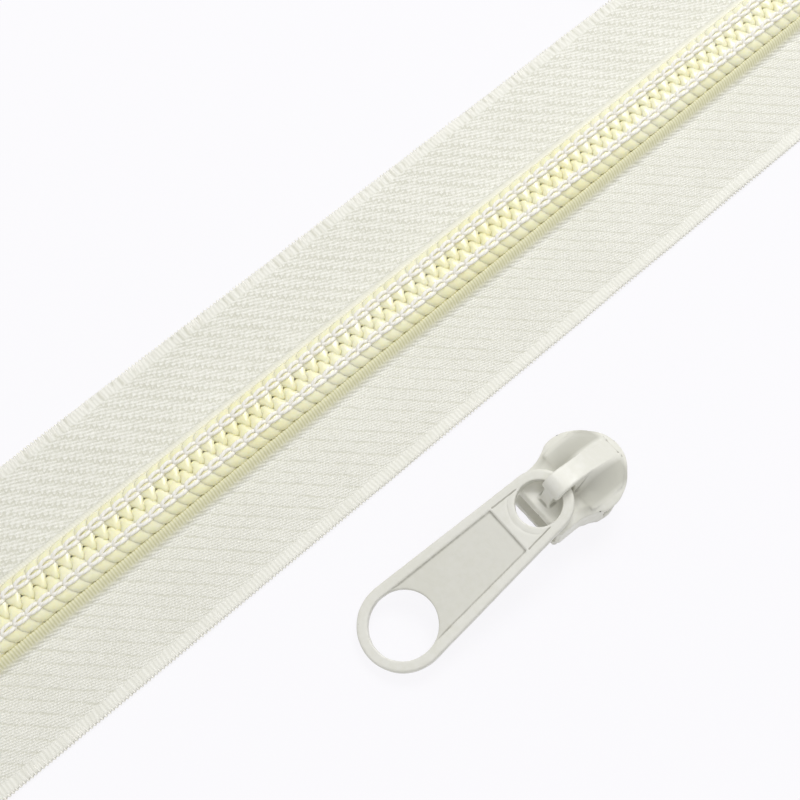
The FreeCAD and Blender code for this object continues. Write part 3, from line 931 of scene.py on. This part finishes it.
@dataclass
class Tape:
    """One woven tape: a closed strip with its weave in relief, and its edge turns."""

    side: Side
    chain: ChainSizes
    inner: float = 0.4
    outer: float = 14.80
    thickness: float = 0.5
    rise: float = 0.32
    rise_end: float = 3.6
    rise_start: float = 4.6
    step_along: float = 82 / 444
    rows: int = 88
    coarse: int = 4
    seam_start: float = 2.70
    seam_end: float = 4.6
    seam_height: float = 1.1
    seam_foot: float = 0.45
    seam_slope: float = 1.4
    rib_start_fade: float = 0.5
    rib_end: float = 4.4
    rib_end_fade: float = 0.4
    rib_relief: float = 0.05
    relief: float = 0.025
    dent_length: float = 0.34
    dent_width: float = 0.24
    dents_from: float = 4.2
    dents_to: float = 13.5
    edge_wave: float = 0.10
    edge_round: float = 0.12
    edge_share: float = 0.015
    loop_sides: int = 6
    far_drift: float = 0.36
    near_drift: float = 0.14
    loop_pitch: float = 0.475
    loop_radius: float = 0.10
    loop_steps: int = 6
    loop_foot: float = 0.75
    loop_lean: float = 0.14

    def lift(self, away: np.ndarray) -> np.ndarray:
        """Return how high the tape's underside is at each distance from the centre."""
        return self.rise * eased((self.rise_start - away) / (self.rise_start - self.rise_end))

    def seam(self, x: np.ndarray, away: np.ndarray, rib: float) -> np.ndarray:
        """Return how much the ribbed seam beside the coil adds to the cloth's top.

        Args:
            x, away: Places on the tape, in millimetres.
            rib: The ribs' pitch.

        Returns:
            The height to add, in millimetres.
        """
        inner = away - self.seam_start
        swell = eased(inner / self.seam_foot) * eased((self.seam_end - away) / self.seam_slope)
        band = eased((self.rib_end - away) / self.rib_end_fade)
        band = band * eased(inner / self.rib_start_fade)
        return self.seam_height * swell + self.rib_relief * band * np.cos(math.tau * x / rib)

    def dents(self, x: np.ndarray, y: np.ndarray, cloth: TapeCloth) -> np.ndarray:
        """Return the depth of the weave's main dents.

        Args:
            x, y: Places on the tape, in millimetres.
            cloth: The cloth whose lattice they follow.

        Returns:
            0 on the floats to 1 in a dent.
        """
        row = np.round(y / cloth.line_pitch)
        along = (x - cloth.line_shift * row) / cloth.repeat
        off = (np.abs(along - np.floor(along) - 0.5) - 0.5) * cloth.repeat
        across = y - row * cloth.line_pitch
        return np.exp(-((off / self.dent_length) ** 2) - (across / self.dent_width) ** 2)

    def edge(self, x: np.ndarray) -> np.ndarray:
        """Return how far the outer edge wanders.

        Args:
            x: Places along the tape, in millimetres.

        Returns:
            The distance outwards at each of them.
        """
        s = self.side.value
        slow = np.array([noise.noise(Vector((v * 0.11, 7.0 * s, 0.0))) for v in x])
        quick = np.array([noise.noise(Vector((v * 0.8, 3.0 * s, 5.0))) for v in x])
        return self.edge_wave * (slow + 0.35 * quick)

    def surfaces(self, columns: int) -> tuple[np.ndarray, np.ndarray]:
        """Work out the cloth's two faces.

        Args:
            columns: Steps along the tape.

        Returns:
            The top's points and the underside's, in millimetres, by column and row.
        """
        cloth = TapeCloth("sizes", self.side)
        half = self.chain.length / 2
        x = np.linspace(-half, half, columns + 1)
        xs, shares = np.meshgrid(x, np.linspace(0, 1, self.rows + 1), indexing="ij")
        reach = self.outer + self.edge(x)[:, None] * shares**6
        away = self.inner + (reach - self.inner) * shares
        ys = away * self.side.value
        under = self.lift(away)
        fade = np.clip((away - self.dents_from) / 0.6, 0, 1)
        fade = fade * np.clip((self.dents_to - away) / 0.4, 0, 1)
        dent = self.dents(xs, ys, cloth) * fade
        rounded = np.clip((shares - 1 + self.edge_share) / self.edge_share, 0, 1)
        round_edge = rounded**2 * self.edge_round
        top = under + self.thickness - self.relief * dent - round_edge
        top += self.seam(xs, away, cloth.rib)
        return np.stack([xs, ys, top], -1), np.stack([xs, ys, under + round_edge], -1)

    def faces(self, columns: int, upper: int) -> list[tuple[int, ...]]:
        """Join the top's fine grid, the underside's coarse one and the four walls.

        Args:
            columns: Steps along the tape.
            upper: How many points the top has.

        Returns:
            The corners of every face.
        """
        k = self.coarse
        wide, low_wide = self.rows + 1, self.rows // k + 1
        low_rows = range(self.rows // k)
        low_columns = range(columns // k)
        faces: list[tuple[int, ...]] = []
        for i in range(columns):
            for j in range(self.rows):
                a = i * wide + j
                faces.append((a, a + wide, a + wide + 1, a + 1))
        for i in low_columns:
            for j in low_rows:
                a = upper + i * low_wide + j
                faces.append((a, a + 1, a + low_wide + 1, a + low_wide))
        for i in low_columns:
            for j in (0, self.rows):
                foot = upper + i * low_wide + j // k
                loop = [(i * k + n) * wide + j for n in range(k + 1)] + [foot + low_wide, foot]
                faces.append(tuple(loop if j else loop[::-1]))
        for j in low_rows:
            for i in (0, columns):
                foot = upper + i // k * low_wide + j
                loop = [i * wide + j * k + n for n in range(k + 1)] + [foot + 1, foot]
                faces.append(tuple(loop[::-1] if i else loop))
        return faces

    def build(self, wardrobe: Wardrobe) -> None:
        """Args:
            wardrobe: The finishes.
        """
        columns = int(round(self.chain.length / self.step_along))
        top, under = self.surfaces(columns)
        upper = top.reshape(-1, 3)
        lower = under[:: self.coarse, :: self.coarse].reshape(-1, 3)
        corners = np.concatenate([upper, lower]) * MM
        mesh = bpy.data.meshes.new(f"{self.side.word}_tape_cloth")
        mesh.from_pydata(corners.tolist(), [], self.faces(columns, len(upper)))
        mesh.validate()
        shape = bmesh.new()
        shape.from_mesh(mesh)
        bmesh.ops.recalc_face_normals(shape, faces=shape.faces)
        shape.to_mesh(mesh)
        shape.free()
        mesh.polygons.foreach_set("use_smooth", [True] * len(mesh.polygons))
        mesh.materials.append(wardrobe.cloth[self.side])
        piece = show(f"{self.side.word}_tape_cloth", mesh)
        loops = self.edge_loops(wardrobe)
        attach(piece, self.side.body)
        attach(loops, self.side.body)
        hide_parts(f"{self.side.word}_tape")
        log.info("%s tape: %d faces", self.side.word, len(mesh.polygons))

    def edge_loops(self, wardrobe: Wardrobe) -> bpy.types.Object:
        """Make the weft's turns round the outer edge.

        Args:
            wardrobe: The finishes.

        Returns:
            The turns, as one piece.
        """
        count = int(self.chain.length / self.loop_pitch)
        first = -(count - 1) / 2 * self.loop_pitch
        s, mid = self.side.value, self.thickness / 2
        half = mid - self.loop_radius
        bulge = half * 0.55
        back = self.chain.half_width - self.loop_radius - bulge
        path = [(first - 0.05, s * (back - self.loop_foot), mid + half)]
        for turn in range(self.loop_steps + 1):
            share = turn / self.loop_steps
            angle = math.pi * (0.5 - share)
            out, up = back + bulge * math.cos(angle), mid + half * math.sin(angle)
            path.append((first + self.loop_lean * share, s * out, up))
        path.append((first + 0.2, s * (back - self.loop_foot), mid - half))
        return PathTree("selvedge_turns", self.loop_sides, plies=2).run(
            f"{self.side.word}_selvedge",
            path,
            wardrobe.stitch,
            count=count,
            pitch=self.loop_pitch * MM,
            radius=self.loop_radius * MM,
            drift=(self.far_drift if self.side is Side.FAR else self.near_drift) * MM,
            seed=11 + s,
        )


@dataclass
class Coil:
    """One side's coil: monofilament loops that stand in the other side's gaps."""

    side: Side
    chain: ChainSizes
    sides: int = 12
    bend_steps: int = 9
    fullness: float = 1.03
    head_spread: float = 0.42
    leg_spread: float = 1.9
    bend_spread: float = -0.35
    drift: float = 0.05

    def template(self) -> list[Point]:
        """Work out one turn of the coil.

        Returns:
            The path from a lower leg's outer end to the next one's.
        """
        c, s = self.chain, self.side.value
        x = c.first(self.side)
        half = (c.high - c.low) / 2
        middle = (c.high + c.low) / 2
        bend = math.hypot(c.pitch, c.high - c.low) / 2
        leg_middle = s * (c.leg_outer + c.leg_inner) / 2
        angles = [math.pi * i / self.bend_steps for i in range(self.bend_steps + 1)]
        path = [(x, s * c.leg_outer, c.low), (x, leg_middle, c.low)]
        for angle in angles:
            across = s * (c.leg_inner - half * math.sin(angle))
            path.append((x, across, middle - half * math.cos(angle)))
        path.append((x, leg_middle, c.high))
        for angle in angles:
            share = (1 - math.cos(angle)) / 2
            across = s * (c.leg_outer + bend * math.sin(angle))
            path.append((x + c.pitch * share, across, c.high + (c.low - c.high) * share))
        return path

    def build(self, wardrobe: Wardrobe) -> None:
        """Args:
            wardrobe: The finishes.
        """
        piece = PathTree(f"coil_{self.side.word}", self.sides, weld=True).run(
            f"{self.side.word}_coil_wire",
            self.template(),
            wardrobe.nylon,
            count=self.chain.loops,
            pitch=self.chain.pitch * MM,
            radius=self.chain.wire / 2 * self.fullness * MM,
            head_spread=self.head_spread,
            leg_spread=self.leg_spread,
            bend_spread=self.bend_spread,
            drift=self.drift * MM,
            seed=5 + self.side.value,
        )
        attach(piece, self.side.body)
        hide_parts(f"{self.side.word}_coil")
        log.info("%s coil: %d faces", self.side.word, len(piece.data.polygons))


@dataclass
class Sewing:
    """The chain stitches that hold one coil, the cord inside it and the thread under the tape."""

    side: Side
    chain: ChainSizes
    thread_sides: int = 8
    cord_sides: int = 12
    lock_sides: int = 10
    thread: float = 0.45
    thread_drift: float = 0.12
    cord: float = 0.60
    cord_width: float = 1.58
    lock: float = 0.24
    lock_height: float = 0.145
    lock_wave: float = 0.015
    run_steps: int = 820
    link: tuple[Point, ...] = (
        (0.00, 0.07, 0.60),
        (0.00, 0.09, 1.90),
        (0.00, 0.11, 2.62),
        (0.06, 0.14, 2.90),
        (0.26, 0.23, 3.05),
        (0.56, 0.31, 3.06),
        (0.84, 0.35, 3.06),
        (1.14, 0.35, 3.02),
        (1.44, 0.30, 2.88),
        (1.72, 0.15, 2.70),
        (1.82, 0.00, 2.62),
    )

    def template(self) -> list[Point]:
        """Work out one link of the chain stitch.

        Returns:
            The path out of the tape, round the next hole and back.
        """
        line = self.side.value * self.chain.stitch_line
        x = self.chain.first(self.side) - self.chain.pitch / 2
        half = [(x + along, line + across, up) for along, across, up in self.link]
        other = [(x + along, line - across, up) for along, across, up in self.link[-2::-1]]
        return smoothed(half + other, 2)

    def build(self, wardrobe: Wardrobe) -> None:
        """Args:
            wardrobe: The finishes.
        """
        c, s, word = self.chain, self.side.value, self.side.word
        links = PathTree(f"chain_stitch_{word}", self.thread_sides, plies=2).run(
            f"{word}_chain_stitches",
            self.template(),
            wardrobe.stitch,
            count=c.loops,
            pitch=c.pitch * MM,
            radius=self.thread / 2 * MM,
            drift=self.thread_drift * MM,
            seed=21 + s,
        )
        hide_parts(f"{word}_chain_thread")
        steps = [c.length * i / self.run_steps for i in range(self.run_steps + 1)]
        line = s * c.stitch_line
        cord = PathTree(f"core_cord_{word}", self.cord_sides, plies=3).run(
            f"{word}_filler_cord",
            [(step - c.length / 2, line, (c.low + c.high) / 2) for step in steps],
            wardrobe.cord,
            radius=self.cord / 2 * MM,
            widen=self.cord_width / self.cord,
            centre=line * MM,
        )
        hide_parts(f"{word}_core_cord")
        waves = [math.cos(math.tau * (step - c.pitch / 2) / c.pitch) for step in steps]
        lock = PathTree(f"lock_run_{word}", self.lock_sides, plies=2).run(
            f"{word}_under_thread",
            [
                (step - c.length / 2, line, self.lock_height + self.lock_wave * wave)
                for step, wave in zip(steps, waves)
            ],
            wardrobe.lock,
            radius=self.lock / 2 * MM,
        )
        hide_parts(f"{word}_lock_thread")
        for piece in (links, cord, lock):
            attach(piece, self.side.body)
            log.info("%s: %d faces", piece.name, len(piece.data.polygons))


def points(mesh: bpy.types.Mesh, kind: str = "co") -> np.ndarray:
    """Read a mesh's points.

    Args:
        mesh: The mesh.
        kind: "co" for their places or "normal" for their normals.

    Returns:
        One row for each point.
    """
    values = np.zeros(len(mesh.vertices) * 3)
    mesh.vertices.foreach_get(kind, values)
    return values.reshape(-1, 3)


def move_points(mesh: bpy.types.Mesh, co: np.ndarray) -> None:
    """Put a mesh's points in new places."""
    mesh.vertices.foreach_set("co", co.ravel())
    mesh.update()


class Neighbours:
    """Which points of a mesh its edges join."""

    def __init__(self, mesh: bpy.types.Mesh) -> None:
        """Read the mesh's edges.

        Args:
            mesh: The mesh.
        """
        self.count = len(mesh.vertices)
        ends = np.zeros(len(mesh.edges) * 2, int)
        mesh.edges.foreach_get("vertices", ends)
        self.first, self.second = ends.reshape(-1, 2).T
        self.number = np.bincount(ends, minlength=self.count)

    def mean(self, values: np.ndarray) -> np.ndarray:
        """Average each point's neighbours.

        Args:
            values: A number for each point.

        Returns:
            The mean of its neighbours' numbers.
        """
        total = np.bincount(self.first, values[self.second], self.count)
        total += np.bincount(self.second, values[self.first], self.count)
        return total / np.maximum(self.number, 1)


@dataclass
class Casting:
    """A cast and painted piece: the CAD solid's shape with soft edges and a thick coat.

    Sizes are in millimetres. PIVOT is the pull's hinge; OUTWARD, DOWN and SIDEWAYS are the
    directions off its face, along it to the finger hole, and across it.
    """

    PIVOT = np.array((-2.1492, -28.9859, 6.55))
    OUTWARD = np.array((-0.21754, 0.005696, 0.976035))
    DOWN = np.array((-0.97570, 0.02555, -0.21761))
    SIDEWAYS = np.array((0.026177, 0.999657, 0.0))

    node: str
    body: str
    name: str
    voxel: float = 0.09
    rounds: int = 7
    ripple: float = 0.02
    cast_edge: float = 0.0
    cast_top: float = 1.0
    cove: bool = False
    scored: bool = False
    centre: tuple[float, float] = (0.3, -29.05)
    yaw: float = -1.5
    reach: float = 6.5
    ridge_half: float = 1.2
    cove_reach: float = 2.9
    cove_start: float = -1.3
    cove_end: float = 5.9
    cove_bend: float = 2.4
    cove_start_fade: float = 2.6
    cove_end_fade: float = 2.2
    cove_relax: int = 60
    relax_share: float = 0.6
    relax_end: float = 6.2
    relax_inner: float = 1.1
    shield_level: float = 5.2
    shield_above: float = 4.6
    shield_crease: float = 0.2
    # Where painted shade darkens the slider's flanks, and how much darkens the pull's sunken panel.
    hollow_span: tuple[float, float] = (1.3, 4.3)
    hollow_run: tuple[float, float] = (-3.0, 5.4)
    panel_depth: float = 0.50
    panel_shade: float = 0.3
    eye_end: tuple[float, float] = (2.9, 3.65)
    hole_end: tuple[float, float] = (22.25, 5.0)
    eye_centre: float = 3.05
    ring_radius: float = 3.3
    groove_width: float = 0.13
    ring_width: float = 0.20
    groove_depth: float = 0.07
    sharp_bend: float = 0.006

    def build(self, finish: bpy.types.Material) -> None:
        """Args:
            finish: Its material.
        """
        shape = bmesh.new()
        shape.from_mesh(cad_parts[self.node].data)
        bmesh.ops.remove_doubles(shape, verts=shape.verts, dist=1e-7)
        mesh = bpy.data.meshes.new(self.name)
        shape.to_mesh(mesh)
        shape.free()
        mesh.transform(Matrix.Scale(1 / MM, 4))
        piece = show(self.name, mesh)
        if self.cove:
            self.skin(piece)
            baked(piece)
            self.sweep_flanks(piece.data)
        self.skin(piece)
        soften = piece.modifiers.new("soften", "SMOOTH")
        soften.factor = 0.5
        soften.iterations = self.rounds
        baked(piece)
        mesh = piece.data
        if self.cove:
            self.relax_flanks(mesh)
        if self.scored:
            self.score(mesh)
        self.disturb(mesh)
        self.mark(mesh)
        mesh.transform(Matrix.Scale(MM, 4))
        mesh.materials.clear()
        mesh.materials.append(finish)
        mesh.polygons.foreach_set("use_smooth", [True] * len(mesh.polygons))
        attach(piece, self.body)
        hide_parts(self.node)
        log.info("%s: %d faces", self.name, len(mesh.polygons))

    def skin(self, piece: bpy.types.Object) -> None:
        """Add the remesh that turns the solid into one even skin.

        Args:
            piece: The piece, in millimetres.
        """
        remesh = piece.modifiers.new("skin", "REMESH")
        remesh.mode = "VOXEL"
        remesh.voxel_size = self.voxel
        remesh.use_smooth_shade = True

    def own_frame(self, co: np.ndarray) -> tuple[np.ndarray, np.ndarray]:
        """Measure from the slider's centre.

        Args:
            co: Points in the shared frame.

        Returns:
            Their distances along the slider's ridge and across it.
        """
        turn = math.radians(self.yaw)
        dx, dy = co[:, 0] - self.centre[0], co[:, 1] - self.centre[1]
        return dx * math.cos(turn) + dy * math.sin(turn), dy * math.cos(turn) - dx * math.sin(turn)

    def highest(
        self, along: np.ndarray, values: np.ndarray, where: np.ndarray, steps: int, least: float
    ) -> np.ndarray:
        """Find the highest of some points' values beside every point.

        Args:
            along: Each point's distance along the slider.
            values: Each point's value.
            where: Which points count.
            steps: Bins along the slider; each reaches over both its neighbours.
            least: The value where a bin is empty.

        Returns:
            The highest value at each point's place along.
        """
        bins = np.linspace(-self.reach, self.reach, steps + 1)
        found = np.full(len(bins), least)
        width = 0.2 if steps < 100 else 0.15
        for index, start in enumerate(bins):
            near = where & (np.abs(along - start) < width)
            if near.any():
                found[index] = values[near].max()
        return np.interp(along, bins, found)

    def rim_at(self, co: np.ndarray, along: np.ndarray, across: np.ndarray) -> np.ndarray:
        """Return the top plate's half width beside each point."""
        plate = np.abs(co[:, 2] - self.shield_level + 0.25) < 0.3
        return self.highest(along, np.abs(across), plate, 65, 0.0)

    def sweep_flanks(self, mesh: bpy.types.Mesh) -> None:
        """Fill the corners at the ridge's foot with a broad hollow curve.

        Args:
            mesh: The slider's skin.
        """
        co, level = points(mesh), self.shield_level
        along, across = self.own_frame(co)
        off = np.abs(across)
        rim = self.rim_at(co, along, across)
        top = self.highest(along, co[:, 2], off < self.ridge_half * 0.6, 130, level)
        reach = np.clip(rim - self.ridge_half - 0.25, 0.6, self.cove_reach)
        share = np.clip((off - self.ridge_half) / reach, 0, 1)
        fade = eased((along - self.cove_start) / self.cove_start_fade)
        fade = fade * eased((self.cove_end - along) / self.cove_end_fade)
        curve = level + (top - level) * (1 - share) ** self.cove_bend * fade
        upper = (co[:, 2] > level - 0.3) & (share < 1) & (points(mesh, "normal")[:, 2] > -0.3)
        upper &= (off > self.ridge_half * 0.9) & (fade > 0)
        co[upper, 2] = np.maximum(co[upper, 2], curve[upper])
        move_points(mesh, co)

    def relax_flanks(self, mesh: bpy.types.Mesh) -> None:
        """Even out the swept flanks, and leave the rest of the skin as it is.

        Args:
            mesh: The slider's skin.
        """
        co = points(mesh)
        along, across = self.own_frame(co)
        off = np.abs(across)
        weight = eased(along - self.cove_start) * eased((self.relax_end - along) / 0.5)
        weight *= eased((off - self.relax_inner) / 0.4)
        weight *= eased((self.rim_at(co, along, across) - 0.3 - off) / 0.4)
        weight *= eased((co[:, 2] - self.shield_level + 0.1) / 0.3)
        neighbours = Neighbours(mesh)
        for _ in range(self.cove_relax):
            moved = np.stack([neighbours.mean(co[:, k]) for k in range(3)], 1)
            co += (moved - co) * (self.relax_share * weight)[:, None]
        move_points(mesh, co)

    def score(self, mesh: bpy.types.Mesh) -> None:
        """Press the rim's soft groove round the pull's eye and along the web.

        Args:
            mesh: The pull's skin.
        """
        co = points(mesh)
        off = co - self.PIVOT
        u, v, w = off @ self.DOWN, np.abs(off @ self.SIDEWAYS), off @ self.OUTWARD
        (eye, eye_half), (hole, hole_half) = self.eye_end, self.hole_end
        slope = (hole_half - eye_half) / (hole - eye)
        rim = (eye_half + (u - eye) * slope) / math.cos(math.asin(slope)) - 1.0
        web = eased((u - 3.3) / 0.8) * eased((7.3 - u) / 0.3)
        line = np.exp(-(((v - rim) / self.groove_width) ** 2)) * web
        from_eye = np.hypot(u - self.eye_centre, v)
        ring = np.exp(-(((from_eye - self.ring_radius) / self.ring_width) ** 2))
        ring *= eased((rim - v + 0.05) / 0.2) * eased((u - 3.2) / 0.8)
        depth = self.groove_depth * np.maximum(line, ring * 0.6) * np.sign(w) * (np.abs(w) > 0.3)
        move_points(mesh, co - depth[:, None] * self.OUTWARD)

    def disturb(self, mesh: bpy.types.Mesh) -> None:
        """Give the skin the slight unevenness of a casting under paint.

        Args:
            mesh: The skin.
        """
        normals = [vertex.normal.copy() for vertex in mesh.vertices]
        for vertex, normal in zip(mesh.vertices, normals):
            place = vertex.co
            move = self.ripple * noise.noise(place * 0.9)
            if self.cast_edge and place.z < self.cast_top and abs(normal.z) < 0.8:
                move += self.cast_edge * (noise.noise(place * 1.7) - 0.25)
            vertex.co = place + normal * move

    def mark(self, mesh: bpy.types.Mesh) -> None:
        """Keep, for the finish, how sharply the skin bends and where painted shade darkens the
        coat.

        Args:
            mesh: The skin.
        """
        co, normal, neighbours = points(mesh), points(mesh, "normal"), Neighbours(mesh)
        bend = sum((neighbours.mean(co[:, k]) - co[:, k]) * normal[:, k] for k in range(3))
        for _ in range(3):
            bend = (bend + neighbours.mean(bend)) / 2
        edge, crease = (np.clip(way * bend / self.sharp_bend, 0, 1) for way in (-1, 1))
        # Painted shade: on the slider's flanks beside the ridge, and in the pull's sunken panel.
        hollow = np.zeros(len(co))
        if self.cove:
            along, across = self.own_frame(co)
            off, high = np.abs(across), co[:, 2] > self.shield_above
            (inner, outer), (start, end) = self.hollow_span, self.hollow_run
            hollow = np.clip((off - inner) / 0.5, 0, 1) * np.clip((outer - off) / 0.7, 0, 1)
            hollow *= np.clip((along - start) / 1.5, 0, 1) * np.clip((end - along) / 0.8, 0, 1)
            hollow *= high
            on_shield = high & (off > 1.6) & (along > -3.5)
            crease *= np.where(on_shield, self.shield_crease, 1.0)
        if self.scored:
            # Painted shade in the pull's sunken panel.
            height = np.abs((co - self.PIVOT) @ self.OUTWARD)
            hollow = self.panel_shade * eased((self.panel_depth - height) / 0.08)
        for name, values in (("edge", edge), ("crease", crease), ("hollow", hollow)):
            layer = mesh.attributes.new(name, "FLOAT", "POINT")
            layer.data.foreach_set("value", values.astype(np.float32))


@dataclass
class Studio:
    """Camera, soft lamps and a pale floor."""

    eye: Point = (-54.118, -62.032, 169.045)
    right: Point = (0.74864, -0.66298, 0.0)
    up: Point = (0.61028, 0.68912, 0.39073)
    lens: float = 73.36
    sensor: float = 36.0
    sky: float = 0.51
    shown_sky: float = 0.97
    key: float = 0.50
    fill: float = 0.10
    white: Colour = tint(253, 252, 255)
    floor_share: float = 0.9
    floor_half: float = 2.0
    floor_drop: float = 0.00004

    def camera(self) -> None:
        """Place the camera."""
        data = bpy.data.cameras.new("camera")
        data.lens = self.lens
        data.sensor_width = self.sensor
        data.clip_start = 0.01
        data.clip_end = 10.0
        camera = show("camera", data)
        right, up = Vector(self.right).normalized(), Vector(self.up).normalized()
        turn = Matrix((right, up, right.cross(up))).transposed().to_4x4()
        camera.matrix_world = Matrix.Translation(Vector(self.eye) * MM) @ turn
        bpy.context.scene.camera = camera

    def lamp(self, name: str, place: Point, size: float, level: float) -> None:
        """Hang one square lamp that faces the chain's centre.

        Args:
            name: Its name.
            place: Where it hangs, in metres.
            size: Its side, in metres.
            level: The share of full light that it gives a surface facing it.
        """
        data = bpy.data.lights.new(name, "AREA")
        data.shape = "SQUARE"
        data.size = size
        away = Vector(place)
        data.energy = level * math.pi**2 * away.length_squared
        lamp = show(name, data)
        lamp.location = away
        lamp.rotation_euler = away.to_track_quat("Z", "Y").to_euler()

    def white_to_camera(self, graph: Graph) -> Socket:
        """Pick out the rays that should see a white setting.

        Args:
            graph: The material's or the world's graph.

        Returns:
            1 for rays from the camera or through a gloss or glass, and 0 otherwise.
        """
        rays = graph.add("ShaderNodeLightPath").outputs
        either = graph.math("MAXIMUM", rays["Is Camera Ray"], rays["Is Glossy Ray"])
        return graph.math("MAXIMUM", either, rays["Is Transmission Ray"])

    def world(self) -> None:
        """Light everything evenly, and show white behind it."""
        world = bpy.data.worlds.new("sky")
        world.use_nodes = True
        bpy.context.scene.world = world
        g = Graph(world.node_tree)
        background = world.node_tree.nodes["Background"].inputs
        background["Color"].default_value = (1.0, 1.0, 0.995, 1.0)
        more = self.shown_sky - self.sky
        g.feed(background["Strength"], g.fit(self.white_to_camera(g), more, self.sky))

    def floor(self) -> None:
        """Lay the floor."""
        mesh = bpy.data.meshes.new("floor")
        half = self.floor_half
        corners = [(-half, -half), (half, -half), (half, half), (-half, half)]
        mesh.from_pydata([(x, y, -self.floor_drop) for x, y in corners], [], [(0, 1, 2, 3)])
        material = bpy.data.materials.new("floor")
        material.use_nodes = True
        g = Graph(material.node_tree)
        shader = material.node_tree.nodes["Principled BSDF"]
        look = {"Base Color": (0.9, 0.9, 0.9, 1.0), "Roughness": 0.9, "Specular IOR Level": 0.1}
        for label, value in look.items():
            shader.inputs[label].default_value = value
        glow = g.made("ShaderNodeEmission", {"Color": self.white})
        share = g.times(self.white_to_camera(g), self.floor_share)
        mixed = g.made("ShaderNodeMixShader", {0: share, 1: shader.outputs[0], 2: glow})
        g.feed(material.node_tree.nodes["Material Output"].inputs["Surface"], mixed)
        mesh.materials.append(material)
        show("floor", mesh)

    def build(self) -> None:
        """Set up the whole studio."""
        bpy.context.scene.view_settings.view_transform = "Standard"
        self.camera()
        self.world()
        self.floor()
        self.lamp("key", (0.26, 0.13, 0.40), 0.22, self.key)
        self.lamp("fill", (-0.15, -0.17, 0.42), 0.30, self.fill)
        log.info("studio ready")


def main() -> None:
    """Build every piece in order."""
    Studio().build()
    wardrobe = Wardrobe(Effects())
    chain = ChainSizes()
    for side in Side:
        Tape(side, chain).build(wardrobe)
        Coil(side, chain).build(wardrobe)
        Sewing(side, chain).build(wardrobe)
    slider = Casting("slider_body", "slider", "slider_casting", cast_edge=0.09, cove=True)
    slider.build(wardrobe.enamel)
    pull = Casting("pull_tab", "pull", "pull_casting", rounds=12, scored=True)
    pull.build(wardrobe.enamel)
    log.info("all pieces built")


if __name__ == "__main__":
    main()
